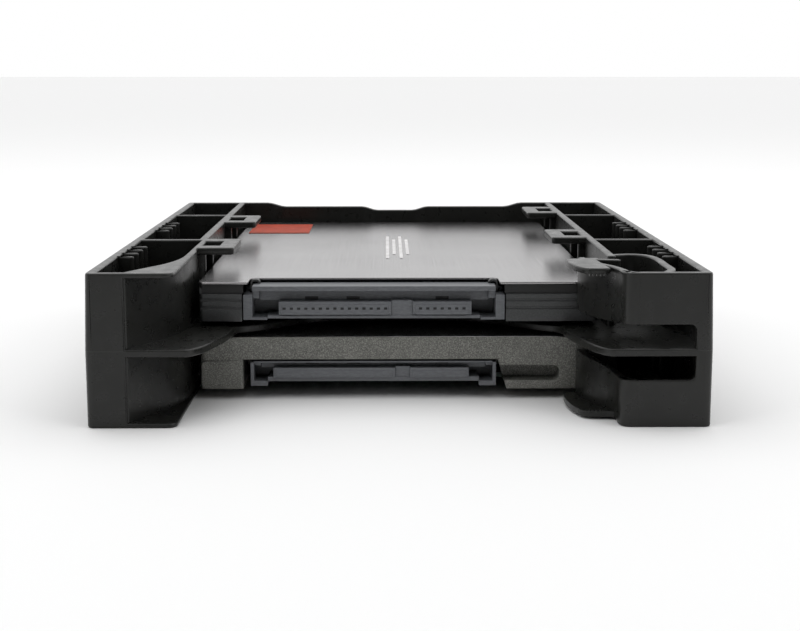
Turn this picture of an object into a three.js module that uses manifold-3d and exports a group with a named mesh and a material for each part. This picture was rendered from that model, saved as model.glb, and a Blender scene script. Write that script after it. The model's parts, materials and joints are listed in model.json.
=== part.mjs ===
// A bracket of the 3.5-inch drive size that holds two 2.5-inch drives, one above the other.
// Millimetres. X runs across the width, Y from the front (the socket end) to the back, Z up.
import * as THREE from "three";
import { mergeVertices } from "three/addons/utils/BufferGeometryUtils.js";
import Module from "manifold-3d";

const wasm = await Module();
wasm.setup();

// ---------------------------------------------------------------- bracket sizes
const WIDTH = 101.6;
const LENGTH = 125;
const HEIGHT = 25.4;
const HALF_WIDTH = WIDTH / 2;
const OUTER_WALL = 2;
const OUTER_FACE = HALF_WIDTH - OUTER_WALL;
const CORNER_RADIUS = 1.2;
const PARTING_Z = HEIGHT / 2;
const UPPER_DRAFT = 0.45;
const FRONT_WALL = 1.6;
const INNER_WALL = 1.5;
const INNER_WALL_X = 37.3;
const INNER_FACE = INNER_WALL_X - INNER_WALL / 2;
const POCKET_FACE = INNER_WALL_X + INNER_WALL / 2;
const SHELF = [11.7, 13];
const LEFT_STRIP_X = -44.2;
const FLARE_WALL = 0.9;
const FLARE_STEPS = 18;
const FLARE_ROUTE = [
  [-44, 0.4],
  [-43, 2.6],
  [-40.8, 7],
  [-38.7, 11.2],
  [-37.3, 16],
  [-36.6, 21],
  [-36.5, 26],
];
const FLANGE = 0.8;
const PARTITION = 1.4;
const PARTITION_YS = [46, 93];
const LIP = 1.3;
const LIP_LENGTH = 14.5;
const LIP_REACH = 30;
const LIP_HOLE = { width: 3.2, length: 7.2, fromWall: 0.3 };
const LEFT_LIP_YS = [33.5, 78.5];
const RIGHT_LIP_YS = [49.5, 98.5];
const GUIDE_RIB = { reach: 35.25, width: 1.2, inset: 1.6 };
const COMB = { tip: 46, width: 1.1, pitch: 4.8, count: 4 };
const SIDE_HOLE = { ys: [28.5, 70.1], z: 6.35, radius: 1.45 };
const REAR_WALL = 1.6;
const REAR_MIDDLE_Y = LENGTH - REAR_WALL / 2;
const THROUGH = [-1, HEIGHT + 1];
const REAR_STEP = { forward: 0.8, drop: 0.85, notch: 0.95, outer: [31, 26.5], inner: [8, 4.2] };
const RIGHT_PLATE_X = 37.9;
const RIGHT_INNER_START = 22;
const WINDOW = { right: 47.9, bottom: 7.8, top: 16.9, radius: 1 };
const LOOP_WALL = 1.4;
const LOOP_ROUTE = [
  [INNER_WALL_X, 23],
  [40.6, 24],
  [43, 23.1],
  [44.3, 20],
  [44.5, 10],
  [44.4, 4.6],
  [42.8, 1],
];
const LOOP_STEPS = 18;
const LOOP_HEIGHTS = [
  [0, 5],
  [18, HEIGHT],
];

// ---------------------------------------------------------------- latch sizes
const LATCH_ARM = 1.3;
const LATCH_TAB = 0.9;
const LATCH_CATCH = { left: 31.7, right: 34, front: 18.2, back: 19.8 };
const LATCH_ROUTE = [
  [37.35, 0.7],
  [36.6, 1.2],
  [36.3, 4.5],
  [35.4, 8.2],
  [33.5, 12],
  [32.1, 15.6],
  [LATCH_CATCH.left, LATCH_CATCH.back],
];
const LATCH_STEPS = 16;
const LATCH_TAB_OUTLINE = [
  [36.2, 6.2],
  [33.6, 6.4],
  [31.4, 8.8],
  [30, 12.4],
  [29.1, 17],
  [29.6, 19],
  [34.2, 19],
];
const LATCH_TAB_STEPS = 14;
const LATCHES = [
  { name: "lower_latch", arm: [0.9, 7.8], tab: 0.5 },
  { name: "upper_latch", arm: [16.6, 25], tab: 24.1 },
];

// ---------------------------------------------------------------- drive sizes
const DRIVE_HALF = 69.85 / 2;
const DRIVE_FRONT = 21;
const DRIVE_BACK = DRIVE_FRONT + 100.2;
const DRIVE_HOLE = { ys: [DRIVE_FRONT + 14, DRIVE_FRONT + 90.6], z: 3, radius: 1.25, depth: 3 };
const CLEARANCE = 0.05;
const SOCKET_BACK = DRIVE_FRONT + 8.5;
const SOCKET_MOUTH = { depth: 5.5, left: 3.2, right: 3, floor: 0.8, roof: 0.5 };
const SOCKET_TONGUE = { front: 0.6, heights: [1.2, 3.2] };
const SOCKET_TONGUES = [
  [4.5, 25.5],
  [28.6, 39],
];

const SSD_BOTTOM = 13.9;
const SSD_LID = [20, 20.9];
const SSD_WALL = 1;
const SSD_SCREW = { x: 31, ys: [27, 115.5], head: 1.7, shank: 0.75, boss: 2.3 };
const SSD_SOCKET = { left: -27.2, right: 18.6, bottom: 14.2, top: 19.7 };
const SSD_BOARD = [16.2, 17.2];
const CHIP_HEIGHT = 0.9;
const CHIP_EDGE = 0.15;

const HDD_BOTTOM = 1.8;
const HDD_RIM = 11.1;
const HDD_LEDGE = 10.5;
const HDD_COVER_TOP = HDD_RIM;
const HDD_COVER_INSET = 0.8;
const HDD_SOCKET = { left: -26.1, right: 17.2, bottom: 2.4, top: 6.8 };
const HDD_FLOOR = 5.6;
const HDD_UNDERSIDE = 4.4;
const HDD_COIL_FLOOR = 7.6;
const HDD_BOARD = [2.1, 2.9];
const SPINDLE = { x: 0, y: 86.2, cavity: 33.1 };
const HUB_RADIUS = 10;
const PLATTER = { radius: 32.3, thickness: 0.6, bottoms: [6.9, 8.9] };
const PIVOT = { x: 8, y: 44, block: 5.2, hole: 2 };
const ARM = { length: 36, angle: 150.8, heights: [6.2, 8, 9.8], thickness: 0.4 };
const COIL = { inner: 7.5, outer: 18, spread: 44, bottom: 8.55, thickness: 0.65 };
const COVER_SCREWS = [
  [-31.6, 25],
  [31.6, 25],
  [-31.6, 50],
  [31.6, 50],
  [-31.6, 118],
  [31.6, 118],
];
const BOARD_SCREWS = [
  [-24.5, 72.5],
  [25.5, 72.5],
  [25.5, 34],
];

const ROUND_STEPS = 24;
const SMALL_ROUND_STEPS = 12;

// ---------------------------------------------------------------- looks
const LOOKS = {
  moulding: { color: 0x232323, roughness: 0.4, metalness: 0 },
  lid: { color: 0xa8a7a8, roughness: 0.35, metalness: 1 },
  tray: { color: 0x2b2c2e, roughness: 0.5, metalness: 0.6 },
  casting: { color: 0x46453f, roughness: 0.7, metalness: 0.4 },
  cover: { color: 0xb9babb, roughness: 0.3, metalness: 1 },
  socket: { color: 0x34383f, roughness: 0.45, metalness: 0 },
  board: { color: 0x14382a, roughness: 0.5, metalness: 0 },
  chip: { color: 0x161618, roughness: 0.5, metalness: 0 },
  pad: { color: 0x8f97a8, roughness: 0.8, metalness: 0 },
  screw: { color: 0x8d8f92, roughness: 0.3, metalness: 1 },
  platter: { color: 0xdadbdd, roughness: 0.05, metalness: 1 },
  machined: { color: 0xb5b6b8, roughness: 0.3, metalness: 1 },
  coil: { color: 0xb06a35, roughness: 0.4, metalness: 0.8 },
  ramp: { color: 0xd9d6cb, roughness: 0.5, metalness: 0 },
  filter: { color: 0xf0f0ec, roughness: 0.9, metalness: 0 },
  label: { color: 0xb84a36, roughness: 0.6, metalness: 0 },
};

// ---------------------------------------------------------------- solids
// A closed geometry as a solid that can be joined and cut.
function solid(geometry) {
  const bare = geometry.clone();
  bare.deleteAttribute("normal");
  bare.deleteAttribute("uv");
  const merged = mergeVertices(bare, 1e-4);
  return new wasm.Manifold(
    new wasm.Mesh({
      numProp: 3,
      vertProperties: merged.attributes.position.array,
      triVerts: new Uint32Array(merged.index.array),
    }),
  );
}

// A block between two corners, each range given as [low, high].
function block([x0, x1], [y0, y1], [z0, z1]) {
  const geometry = new THREE.BoxGeometry(x1 - x0, y1 - y0, z1 - z0);
  return solid(geometry.translate((x0 + x1) / 2, (y0 + y1) / 2, (z0 + z1) / 2));
}

// An outline in the XY plane, raised between two heights.
function prism(shape, [z0, z1], curveSegments = 5) {
  const geometry = new THREE.ExtrudeGeometry(shape, {
    depth: z1 - z0,
    bevelEnabled: false,
    curveSegments,
  });
  return solid(geometry.translate(0, 0, z0));
}

// An outline in the XZ plane, run along Y.
function prismAlongY(shape, [y0, y1], curveSegments = 5) {
  const geometry = new THREE.ExtrudeGeometry(shape, {
    depth: y1 - y0,
    bevelEnabled: false,
    curveSegments,
  });
  return solid(geometry.rotateX(Math.PI / 2).translate(0, y1, 0));
}

// A prism that grows narrower upwards, by the same amount at each side.
function draftedPrism(shape, heights, draft, curveSegments) {
  const [z0, z1] = heights;
  const geometry = new THREE.ExtrudeGeometry(shape, {
    depth: z1 - z0,
    bevelEnabled: false,
    curveSegments,
  });
  const places = geometry.attributes.position;
  for (let i = 0; i < places.count; i++) {
    const raised = places.getZ(i) / (z1 - z0);
    places.setX(i, places.getX(i) - Math.sign(places.getX(i)) * draft * raised);
  }
  return solid(geometry.translate(0, 0, z0));
}

// A round post standing on Z.
function post(x, y, radius, [z0, z1], steps = SMALL_ROUND_STEPS) {
  const geometry = new THREE.CylinderGeometry(radius, radius, z1 - z0, steps);
  return solid(geometry.rotateX(Math.PI / 2).translate(x, y, (z0 + z1) / 2));
}

// A round bar lying along X.
function barAlongX([x0, x1], y, z, radius, steps = SMALL_ROUND_STEPS) {
  const geometry = new THREE.CylinderGeometry(radius, radius, x1 - x0, steps);
  return solid(geometry.rotateZ(Math.PI / 2).translate((x0 + x1) / 2, y, z));
}

function ring(x, y, outer, inner, heights, steps = ROUND_STEPS * 2) {
  const [z0, z1] = heights;
  return post(x, y, outer, heights, steps).subtract(post(x, y, inner, [z0 - 1, z1 + 1], steps));
}

function join(solids) {
  return solids.reduce((whole, piece) => whole.add(piece));
}

function cut(body, solids) {
  return solids.reduce((whole, piece) => whole.subtract(piece), body);
}

// A rectangle with four round corners.
function roundedRectangle([x0, x1], [y0, y1], radius) {
  const shape = new THREE.Shape();
  shape.moveTo(x0 + radius, y0);
  shape.lineTo(x1 - radius, y0);
  shape.absarc(x1 - radius, y0 + radius, radius, -Math.PI / 2, 0, false);
  shape.absarc(x1 - radius, y1 - radius, radius, 0, Math.PI / 2, false);
  shape.absarc(x0 + radius, y1 - radius, radius, Math.PI / 2, Math.PI, false);
  shape.absarc(x0 + radius, y0 + radius, radius, Math.PI, Math.PI * 1.5, false);
  return shape;
}

// The plan of a bent wall: one smooth route, given a width.
function wallAlong(route, width, steps) {
  const points = route.map(([x, y]) => new THREE.Vector3(x, y, 0));
  const curve = new THREE.CatmullRomCurve3(points, false, "centripetal");
  const left = [];
  const right = [];
  for (let i = 0; i <= steps; i++) {
    const at = curve.getPointAt(i / steps);
    const along = curve.getTangentAt(i / steps);
    const side = new THREE.Vector2(-along.y, along.x).multiplyScalar(width / 2);
    left.push(new THREE.Vector2(at.x + side.x, at.y + side.y));
    right.unshift(new THREE.Vector2(at.x - side.x, at.y - side.y));
  }
  return new THREE.Shape([...left, ...right]);
}

// A smooth outline through the points, closed by the straight line between its ends.
function smoothShape(points, steps) {
  const curve = new THREE.SplineCurve(points.map(([x, y]) => new THREE.Vector2(x, y)));
  return new THREE.Shape(curve.getPoints(steps));
}

// A pair of X values at one side, lowest first, for distances from the middle.
function acrossSide(side, near, far) {
  return [side * near, side * far].sort((a, b) => a - b);
}

function bothHalves(heights) {
  const [z0, z1] = heights;
  return [heights, [HEIGHT - z1, HEIGHT - z0]];
}

// ---------------------------------------------------------------- bracket
// 0 at one end of the ramp, 1 at the other, with level ends.
function smoothRamp(value, from, to) {
  const t = THREE.MathUtils.clamp((value - from) / (to - from), 0, 1);
  return t * t * (3 - 2 * t);
}

function rearStations() {
  const ramps = [REAR_STEP.outer, REAR_STEP.inner];
  const side = ramps.flatMap(([from, to]) => [0, 0.25, 0.5, 0.75, 1].map((t) => from + (to - from) * t));
  return [-HALF_WIDTH + CORNER_RADIUS, ...side.map((x) => -x), ...side.reverse(), HALF_WIDTH - CORNER_RADIUS];
}

// The back wall steps forward between its ends, and back again at its middle.
function rearWall() {
  const stepAt = (x) =>
    smoothRamp(Math.abs(x), ...REAR_STEP.outer) - smoothRamp(Math.abs(x), ...REAR_STEP.inner);
  const middle = rearStations().map((x) => [x, REAR_MIDDLE_Y - REAR_STEP.forward * stepAt(x)]);
  const back = middle.map(([x, y]) => new THREE.Vector2(x, y + REAR_WALL / 2));
  const front = middle.map(([x, y]) => new THREE.Vector2(x, y - REAR_WALL / 2));
  return prism(new THREE.Shape([...back, ...front.reverse()]), THROUGH);
}

// What is taken off the top of the back wall: a shallow dip with a deeper notch in its middle.
function rearDip() {
  const topAt = (x) =>
    HEIGHT -
    REAR_STEP.drop * smoothRamp(Math.abs(x), ...REAR_STEP.outer) -
    REAR_STEP.notch * smoothRamp(Math.abs(x), ...REAR_STEP.inner);
  const inside = rearStations().slice(1, -1);
  const edge = inside.map((x) => new THREE.Vector2(x, topAt(x)));
  const above = [
    new THREE.Vector2(REAR_STEP.outer[0], HEIGHT + 2),
    new THREE.Vector2(-REAR_STEP.outer[0], HEIGHT + 2),
  ];
  return prismAlongY(new THREE.Shape([...edge, ...above]), [LENGTH - 4, LENGTH + 1]);
}

// The shelf between the two drives. Its front edge has a round-nosed fin at each side.
function shelf() {
  const fin = [
    [35, 0],
    [33.6, 0.5],
    [31.9, 3.6],
    [30.4, 9],
    [29.2, 14.5],
    [28.6, 20],
  ];
  const bay = [
    [28.1, 21.4],
    [24, 24],
    [20.5, 27.4],
    [16, 31.5],
    [10, 33.4],
    [0, 34],
  ];
  const right = [...new THREE.SplineCurve(fin.map((p) => new THREE.Vector2(...p))).getPoints(10)];
  const hollow = [...new THREE.SplineCurve(bay.map((p) => new THREE.Vector2(...p))).getPoints(12)];
  const half = [...right, ...hollow];
  const edge = [...half, ...half.slice(0, -1).reverse().map((p) => new THREE.Vector2(-p.x, p.y))];
  const shape = new THREE.Shape([
    new THREE.Vector2(OUTER_FACE + 0.5, 0.5),
    new THREE.Vector2(OUTER_FACE + 0.5, LENGTH - 1),
    new THREE.Vector2(-OUTER_FACE - 0.5, LENGTH - 1),
    new THREE.Vector2(-OUTER_FACE - 0.5, 0.5),
    new THREE.Vector2(LEFT_STRIP_X, 0),
    ...edge.reverse(),
    new THREE.Vector2(WINDOW.right, 0),
  ]);
  return prism(shape, SHELF);
}

// The left front corner: a flat strip, a thin wall that flares back to the inner wall, and its two flanges.
function leftCorner() {
  const bend = new THREE.SplineCurve(FLARE_ROUTE.map(([x, y]) => new THREE.Vector2(x, y)));
  const near = bend.getPoints(FLARE_STEPS);
  const far = near.map((at, i) => {
    const along = bend.getTangent(i / FLARE_STEPS);
    return new THREE.Vector2(at.x - along.y * FLARE_WALL, at.y + along.x * FLARE_WALL);
  });
  const end = PARTITION_YS[0] + PARTITION / 2;
  const flare = new THREE.Shape([
    ...near,
    new THREE.Vector2(near.at(-1).x, end),
    new THREE.Vector2(near.at(-1).x - FLARE_WALL, end),
    ...far.reverse(),
  ]);
  const flange = new THREE.Shape();
  flange.moveTo(-45.2, 0);
  flange.lineTo(-37.9, 0);
  flange.quadraticCurveTo(-36.2, 0, -36.2, 1.8);
  flange.lineTo(-36.2, 30);
  flange.lineTo(-37, 30.8);
  flange.lineTo(-37.3, 19.6);
  flange.lineTo(-39.1, 11.2);
  flange.lineTo(-41.2, 7);
  flange.lineTo(-43.4, 2.6);
  const strip = block([-HALF_WIDTH + CORNER_RADIUS, LEFT_STRIP_X], [0, FRONT_WALL], THROUGH);
  return join([
    strip,
    prism(flare, THROUGH),
    ...bothHalves([THROUGH[0], FLANGE]).map((heights) => prism(flange, heights)),
  ]);
}

// The right front corner: a plate with a window, and a bent wall behind it that leaves the latches room.
function rightCorner() {
  const plate = block([RIGHT_PLATE_X, HALF_WIDTH - CORNER_RADIUS], [0, FRONT_WALL], THROUGH);
  const window = prismAlongY(
    roundedRectangle([RIGHT_PLATE_X - 5, WINDOW.right], [WINDOW.bottom, WINDOW.top], WINDOW.radius),
    [-1, FRONT_WALL + 0.1],
  );
  const loop = wallAlong(LOOP_ROUTE, LOOP_WALL, LOOP_STEPS);
  return join([plate.subtract(window), ...LOOP_HEIGHTS.map((heights) => prism(loop, heights))]);
}

// One retention lip, flush with the rim, with a window cut through it and two ribs under it.
function lip(side, start) {
  const middle = start + LIP_LENGTH / 2;
  const plan = roundedRectangle(acrossSide(side, LIP_REACH, INNER_WALL_X), [start, start + LIP_LENGTH], 0.7);
  const holeFace = INNER_FACE - LIP_HOLE.fromWall;
  const hole = block(
    acrossSide(side, holeFace - LIP_HOLE.width, holeFace),
    [middle - LIP_HOLE.length / 2, middle + LIP_HOLE.length / 2],
    [THROUGH[0] - 1, THROUGH[1] + 1],
  );
  const plates = bothHalves([THROUGH[0], LIP]).map((heights) => prism(plan, heights, 3).subtract(hole));
  const ribs = [start + GUIDE_RIB.inset, start + LIP_LENGTH - GUIDE_RIB.inset].map((y) =>
    block(
      acrossSide(side, GUIDE_RIB.reach, INNER_WALL_X),
      [y - GUIDE_RIB.width / 2, y + GUIDE_RIB.width / 2],
      THROUGH,
    ),
  );
  return join([...plates, ...ribs]);
}

// Four upright ribs with round tips on the inside of a side wall, which a screw cuts its thread into.
function comb(side, middle) {
  const radius = COMB.width / 2;
  const ribs = [];
  for (let i = 0; i < COMB.count; i++) {
    const y = middle + (i - (COMB.count - 1) / 2) * COMB.pitch;
    const plan = new THREE.Shape();
    plan.moveTo(side * (OUTER_FACE + 1), y - radius);
    plan.absarc(side * (COMB.tip + radius), y, radius, -Math.PI / 2, Math.PI / 2, side > 0);
    plan.lineTo(side * (OUTER_FACE + 1), y + radius);
    ribs.push(prism(plan, THROUGH, 8));
  }
  return join(ribs);
}

function partition(side, y) {
  return block(acrossSide(side, INNER_WALL_X, OUTER_FACE + 0.5), [y, y + PARTITION], THROUGH);
}

function bracket() {
  const outline = roundedRectangle([-HALF_WIDTH, HALF_WIDTH], [0, LENGTH], CORNER_RADIUS);
  const around = join([
    prism(outline, [THROUGH[0], PARTING_Z], 3),
    draftedPrism(outline, [PARTING_Z, THROUGH[1]], UPPER_DRAFT, 3),
  ]);
  const room = block([-OUTER_FACE, OUTER_FACE], [-1, LENGTH + 1], [-2, HEIGHT + 2]);
  const walls = around.subtract(room);
  const sides = [-1, 1];
  const innerStarts = { [-1]: PARTITION_YS[0] + 0.3, [1]: RIGHT_INNER_START };
  const inner = sides.map((side) =>
    block(acrossSide(side, INNER_FACE, POCKET_FACE), [innerStarts[side], LENGTH - 1], THROUGH),
  );
  const body = join([
    walls.add(rearWall()),
    shelf(),
    leftCorner(),
    rightCorner(),
    ...inner,
    post(INNER_WALL_X, RIGHT_INNER_START, INNER_WALL / 2, THROUGH),
    ...LEFT_LIP_YS.map((y) => lip(-1, y)),
    ...RIGHT_LIP_YS.map((y) => lip(1, y)),
    ...sides.flatMap((side) => SIDE_HOLE.ys.map((y) => comb(side, y))),
    ...sides.flatMap((side) => PARTITION_YS.map((y) => partition(side, y))),
  ]);
  const holes = sides.flatMap((side) =>
    SIDE_HOLE.ys.map((y) => {
      const ends = acrossSide(side, COMB.tip - 2, HALF_WIDTH + 1);
      return barAlongX(ends, y, SIDE_HOLE.z, SIDE_HOLE.radius, ROUND_STEPS);
    }),
  );
  const betweenRims = block([-WIDTH, WIDTH], [-LENGTH, LENGTH * 2], [0, HEIGHT]);
  return cut(body.intersect(betweenRims), [rearDip(), ...holes]);
}

// ---------------------------------------------------------------- latches
// A springy arm that turns back from the corner plate, a catch at its end and a finger tab.
function latch({ arm, tab }) {
  const wall = wallAlong(LATCH_ROUTE, LATCH_ARM, LATCH_STEPS);
  const lobe = smoothShape(LATCH_TAB_OUTLINE, LATCH_TAB_STEPS);
  const { left, right, front, back } = LATCH_CATCH;
  const hook = block([left, right], [front, back], arm);
  return join([prism(wall, arm), hook, prism(lobe, [tab, tab + LATCH_TAB])]);
}

// ---------------------------------------------------------------- parts that both drives have
// A socket: a housing open to the front, with a long and a short contact tongue in its mouth.
function socket({ left, right, bottom, top }) {
  const housing = block([left, right], [DRIVE_FRONT, SOCKET_BACK], [bottom, top]);
  const mouth = block(
    [left + SOCKET_MOUTH.left, right - SOCKET_MOUTH.right],
    [DRIVE_FRONT - 1, DRIVE_FRONT + SOCKET_MOUTH.depth],
    [bottom + SOCKET_MOUTH.floor, top - SOCKET_MOUTH.roof],
  );
  const tongueHeights = SOCKET_TONGUE.heights.map((height) => bottom + height);
  const tongues = SOCKET_TONGUES.map(([start, end]) =>
    block([left + start, left + end], [DRIVE_FRONT + SOCKET_TONGUE.front, SOCKET_BACK], tongueHeights),
  );
  return join([housing.subtract(mouth), ...tongues]);
}

// A chip package, a little smaller at its top.
function chip([x0, x1], [y0, y1], bottom) {
  const top = bottom + CHIP_HEIGHT;
  const low = block([x0, x1], [y0, y1], [bottom, top - CHIP_EDGE]);
  const high = block(
    [x0 + CHIP_EDGE, x1 - CHIP_EDGE],
    [y0 + CHIP_EDGE, y1 - CHIP_EDGE],
    [top - 2 * CHIP_EDGE, top],
  );
  return low.add(high);
}

// A screw whose head is at one height and whose tip is at another, above or below it.
function screw(x, y, headRadius, shankRadius, headZ, headHeight, tipZ) {
  const up = Math.sign(tipZ - headZ);
  const inner = headZ + up * headHeight;
  const head = post(x, y, headRadius, [headZ, inner].sort((a, b) => a - b));
  const shank = post(x, y, shankRadius, [inner - up * 0.1, tipZ].sort((a, b) => a - b));
  const slotReach = headRadius * 0.55;
  const slotFloor = headZ + up * headHeight * 0.6;
  const slotHeights = [headZ - up, slotFloor].sort((a, b) => a - b);
  const slots = [
    block([x - slotReach, x + slotReach], [y - 0.2, y + 0.2], slotHeights),
    block([x - 0.2, x + 0.2], [y - slotReach, y + slotReach], slotHeights),
  ];
  return cut(head.add(shank), slots);
}

// The threaded holes in the sides of a drive.
function driveSideHoles(bottom) {
  return [-1, 1].flatMap((side) =>
    DRIVE_HOLE.ys.map((y) => {
      const ends = [side * (DRIVE_HALF - DRIVE_HOLE.depth), side * (DRIVE_HALF + 1)];
      return barAlongX(ends.sort((a, b) => a - b), y, bottom + DRIVE_HOLE.z, DRIVE_HOLE.radius);
    }),
  );
}

// ---------------------------------------------------------------- solid state drive
function ssdTray() {
  const [floor, rim] = [SSD_BOTTOM + 0.8, SSD_LID[0] - 0.1];
  const outline = roundedRectangle([-DRIVE_HALF, DRIVE_HALF], [DRIVE_FRONT, DRIVE_BACK], 0.8);
  const inside = block(
    [-DRIVE_HALF + SSD_WALL, DRIVE_HALF - SSD_WALL],
    [DRIVE_FRONT + SSD_WALL, DRIVE_BACK - SSD_WALL],
    [floor, rim + 1],
  );
  const shell = prism(outline, [SSD_BOTTOM, rim], 3).subtract(inside);
  const bosses = [-1, 1].flatMap((side) => [
    ...SSD_SCREW.ys.map((y) => post(side * SSD_SCREW.x, y, SSD_SCREW.boss, [SSD_BOTTOM, rim])),
    ...DRIVE_HOLE.ys.map((y) =>
      block(
        [side * (DRIVE_HALF - DRIVE_HOLE.depth - 1), side * (DRIVE_HALF - 0.5)].sort((a, b) => a - b),
        [y - 2.2, y + 2.2],
        [SSD_BOTTOM, rim - 1],
      ),
    ),
  ]);
  const socketGap = block(
    [SSD_SOCKET.left - 0.2, SSD_SOCKET.right + 0.2],
    [DRIVE_FRONT - 1, SOCKET_BACK + 0.3],
    [SSD_BOTTOM - 1, rim + 1],
  );
  const shadowStep = block(
    [-DRIVE_HALF - 1, DRIVE_HALF + 1],
    [DRIVE_FRONT - 1, DRIVE_FRONT + 0.5],
    [18.8, rim + 1],
  );
  const grooves = [16.3, 17.7].map((z) =>
    block([-DRIVE_HALF - 1, DRIVE_HALF + 1], [DRIVE_FRONT - 1, DRIVE_FRONT + 0.25], [z - 0.2, z + 0.2]),
  );
  const screwHoles = [-1, 1].flatMap((side) =>
    SSD_SCREW.ys.flatMap((y) => [
      post(side * SSD_SCREW.x, y, SSD_SCREW.shank + 0.2, [SSD_BOTTOM - 1, rim + 1]),
      post(side * SSD_SCREW.x, y, SSD_SCREW.head + 0.15, [SSD_BOTTOM - 1, SSD_BOTTOM + 0.9]),
    ]),
  );
  const cuts = [socketGap, shadowStep, ...grooves, ...screwHoles, ...driveSideHoles(SSD_BOTTOM)];
  return cut(shell.add(join(bosses)), cuts);
}

function ssdLid() {
  const plan = roundedRectangle([-DRIVE_HALF, DRIVE_HALF], [DRIVE_FRONT, DRIVE_BACK], 0.8);
  const mouth = roundedRectangle([-26.4, 17.8], [DRIVE_FRONT - 5, DRIVE_FRONT + 5.3], 1.4);
  return prism(plan, SSD_LID, 3).subtract(prism(mouth, [SSD_LID[0] - 1, SSD_LID[1] + 1], 4));
}

function ssdPieces() {
  const chipBottom = SSD_BOARD[1] + CLEARANCE;
  const flash = [
    [-29, -16],
    [16.5, 29.5],
  ];
  const pieces = [
    ["ssd_tray", ssdTray(), LOOKS.tray],
    ["ssd_lid", ssdLid(), LOOKS.lid],
    ["ssd_sata_socket", socket(SSD_SOCKET), LOOKS.socket],
    ["ssd_circuit_board", block([-28, 28], [SOCKET_BACK + 0.1, 72], SSD_BOARD), LOOKS.board],
    ["ssd_controller", chip([-7, 7], [36, 50], chipBottom), LOOKS.chip],
    ["ssd_cache_chip", chip([-6, 6], [54, 63], chipBottom), LOOKS.chip],
    [
      "ssd_thermal_pad",
      block([-6.5, 6.5], [36.5, 49.5], [chipBottom + CHIP_HEIGHT + CLEARANCE, SSD_LID[0] - CLEARANCE]),
      LOOKS.pad,
    ],
    ["ssd_label", block([-33.2, -19.6], [97, 115], [SSD_LID[1] + 0.02, SSD_LID[1] + 0.14]), LOOKS.label],
  ];
  flash.forEach((ends, column) =>
    [34, 54].forEach((y, row) => {
      const name = `ssd_memory_chip_${column * 2 + row + 1}`;
      pieces.push([name, chip(ends, [y, y + 15], chipBottom), LOOKS.chip]);
    }),
  );
  let count = 0;
  for (const side of [-1, 1]) {
    for (const y of SSD_SCREW.ys) {
      count += 1;
      const turned = screw(
        side * SSD_SCREW.x,
        y,
        SSD_SCREW.head,
        SSD_SCREW.shank,
        SSD_BOTTOM + 0.1,
        0.7,
        SSD_LID[0] - 0.4,
      );
      pieces.push([`ssd_screw_${count}`, turned, LOOKS.screw]);
    }
  }
  return pieces;
}

// ---------------------------------------------------------------- hard disk
function hddBase() {
  const outline = roundedRectangle([-DRIVE_HALF, DRIVE_HALF], [DRIVE_FRONT, DRIVE_BACK], 1);
  const rimInset = HDD_COVER_INSET - 0.2;
  const ledge = block(
    [-DRIVE_HALF + rimInset, DRIVE_HALF - rimInset],
    [DRIVE_FRONT + rimInset, DRIVE_BACK - rimInset],
    [HDD_LEDGE, HDD_RIM + 1],
  );
  const top = HDD_LEDGE + 1;
  const diskRoom = post(SPINDLE.x, SPINDLE.y, SPINDLE.cavity, [HDD_FLOOR, top], ROUND_STEPS * 2);
  const armRoom = block([-29, 28.5], [33, 66], [HDD_FLOOR, top]);
  const coilRoom = block([-4, 28.5], [24.2, 34], [HDD_COIL_FLOOR, top]);
  const boardRoom = block([-27.4, 28.4], [SOCKET_BACK, 76], [HDD_BOTTOM - 1, HDD_UNDERSIDE]);
  const socketGap = new THREE.Shape();
  socketGap.moveTo(-27.4, HDD_BOTTOM - 1);
  socketGap.lineTo(19.4, HDD_BOTTOM - 1);
  socketGap.lineTo(17.5, 7.1);
  socketGap.lineTo(-27.4, 7.1);
  const sideRecess = roundedRectangle([16.5, 28.4], [3.3, 6], 1.1);
  const screwHoles = COVER_SCREWS.map(([x, y]) => post(x, y, 0.9, [HDD_FLOOR, top]));
  const boardHoles = BOARD_SCREWS.map(([x, y]) => post(x, y, 0.75, [HDD_UNDERSIDE - 1, HDD_FLOOR - 0.3]));
  return cut(prism(outline, [HDD_BOTTOM, HDD_RIM], 3), [
    ledge,
    diskRoom,
    armRoom,
    coilRoom,
    boardRoom,
    prismAlongY(socketGap, [DRIVE_FRONT - 1, SOCKET_BACK + 0.5]),
    prismAlongY(sideRecess, [DRIVE_FRONT - 1, DRIVE_FRONT + 4]),
    ...screwHoles,
    ...boardHoles,
    ...driveSideHoles(HDD_BOTTOM),
  ]);
}

function hddCover() {
  const plan = roundedRectangle(
    [-DRIVE_HALF + HDD_COVER_INSET, DRIVE_HALF - HDD_COVER_INSET],
    [DRIVE_FRONT + HDD_COVER_INSET, DRIVE_BACK - HDD_COVER_INSET],
    0.8,
  );
  const heights = [HDD_LEDGE + CLEARANCE, HDD_COVER_TOP];
  const holes = COVER_SCREWS.flatMap(([x, y]) => [
    post(x, y, 0.95, [heights[0] - 1, heights[1] + 1]),
    post(x, y, 1.7, [HDD_COVER_TOP - 0.45, HDD_COVER_TOP + 1]),
  ]);
  return cut(prism(plan, heights, 3), holes);
}

function hddHub() {
  const flange = post(SPINDLE.x, SPINDLE.y, HUB_RADIUS + 2.4, [6.2, PLATTER.bottoms[0] - CLEARANCE]);
  const shaft = post(SPINDLE.x, SPINDLE.y, HUB_RADIUS - CLEARANCE, [5.9, 9.6], ROUND_STEPS);
  return flange.add(shaft).subtract(post(SPINDLE.x, SPINDLE.y, 1.1, [7, 11]));
}

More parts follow.
